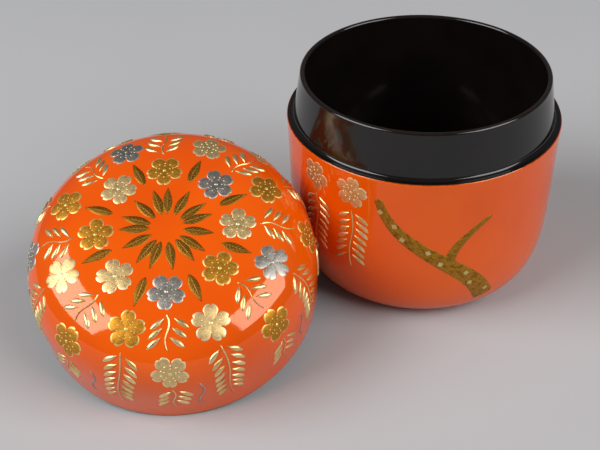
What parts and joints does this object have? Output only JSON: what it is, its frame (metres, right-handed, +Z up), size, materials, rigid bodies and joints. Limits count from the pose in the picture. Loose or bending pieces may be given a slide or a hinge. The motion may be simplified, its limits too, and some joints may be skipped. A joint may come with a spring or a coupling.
{
  "type": "lacquer tea caddy",
  "caption": "Round lacquered wooden tea caddy with a raised black collar and a deep domed lid taken off and tipped beside it, orange outside, black inside, with gold and silver flower work.",
  "frame": {"origin": "middle of the body's flat base, on the table", "axes": "+Z up along the body's axis; -Y towards the viewer; the taken-off lid lies to -X and -Y"},
  "size_m": [0.1212, 0.1043, 0.0535],
  "materials": {
    "wood": "turned and sanded",
    "orange_lacquer": "polished lacquer, mirror gloss",
    "black_lacquer": "polished lacquer, mirror gloss",
    "gold": "burnished gold powder, slightly raised",
    "pale_gold": "burnished pale gold powder and cut leaf",
    "dark_gold": "thin flat gold powder, dark",
    "silver": "silver powder, slightly dulled"
  },
  "bodies": {
    "body": {"body_core": "wood", "body_outer_lacquer": "orange_lacquer", "body_inner_lacquer": "black_lacquer", "collar_lacquer": "black_lacquer", "base_lacquer": "orange_lacquer", "body_gold_bough": "gold", "body_cut_gold_squares": "pale_gold", "body_gold_strands": "gold", "body_gold_blossoms": "pale_gold"},
    "lid": {"lid_core": "wood", "lid_outer_lacquer": "orange_lacquer", "lid_inner_lacquer": "black_lacquer", "lid_rim_lacquer": "black_lacquer", "lid_gold_leaves": "dark_gold", "lid_gold_stems": "gold", "lid_gold_buds": "gold", "lid_gold_blossoms": "gold", "lid_pale_gold_blossoms": "pale_gold", "lid_silver_blossoms": "silver", "lid_silver_tendrils": "silver"}
  },
  "joints": [
    {"name": "lid_lift", "type": "slide", "parent": "body", "child": "lid", "axis": [0.0636, -0.3609, 0.9304], "range_m": [0, 0.08]}
  ]
}
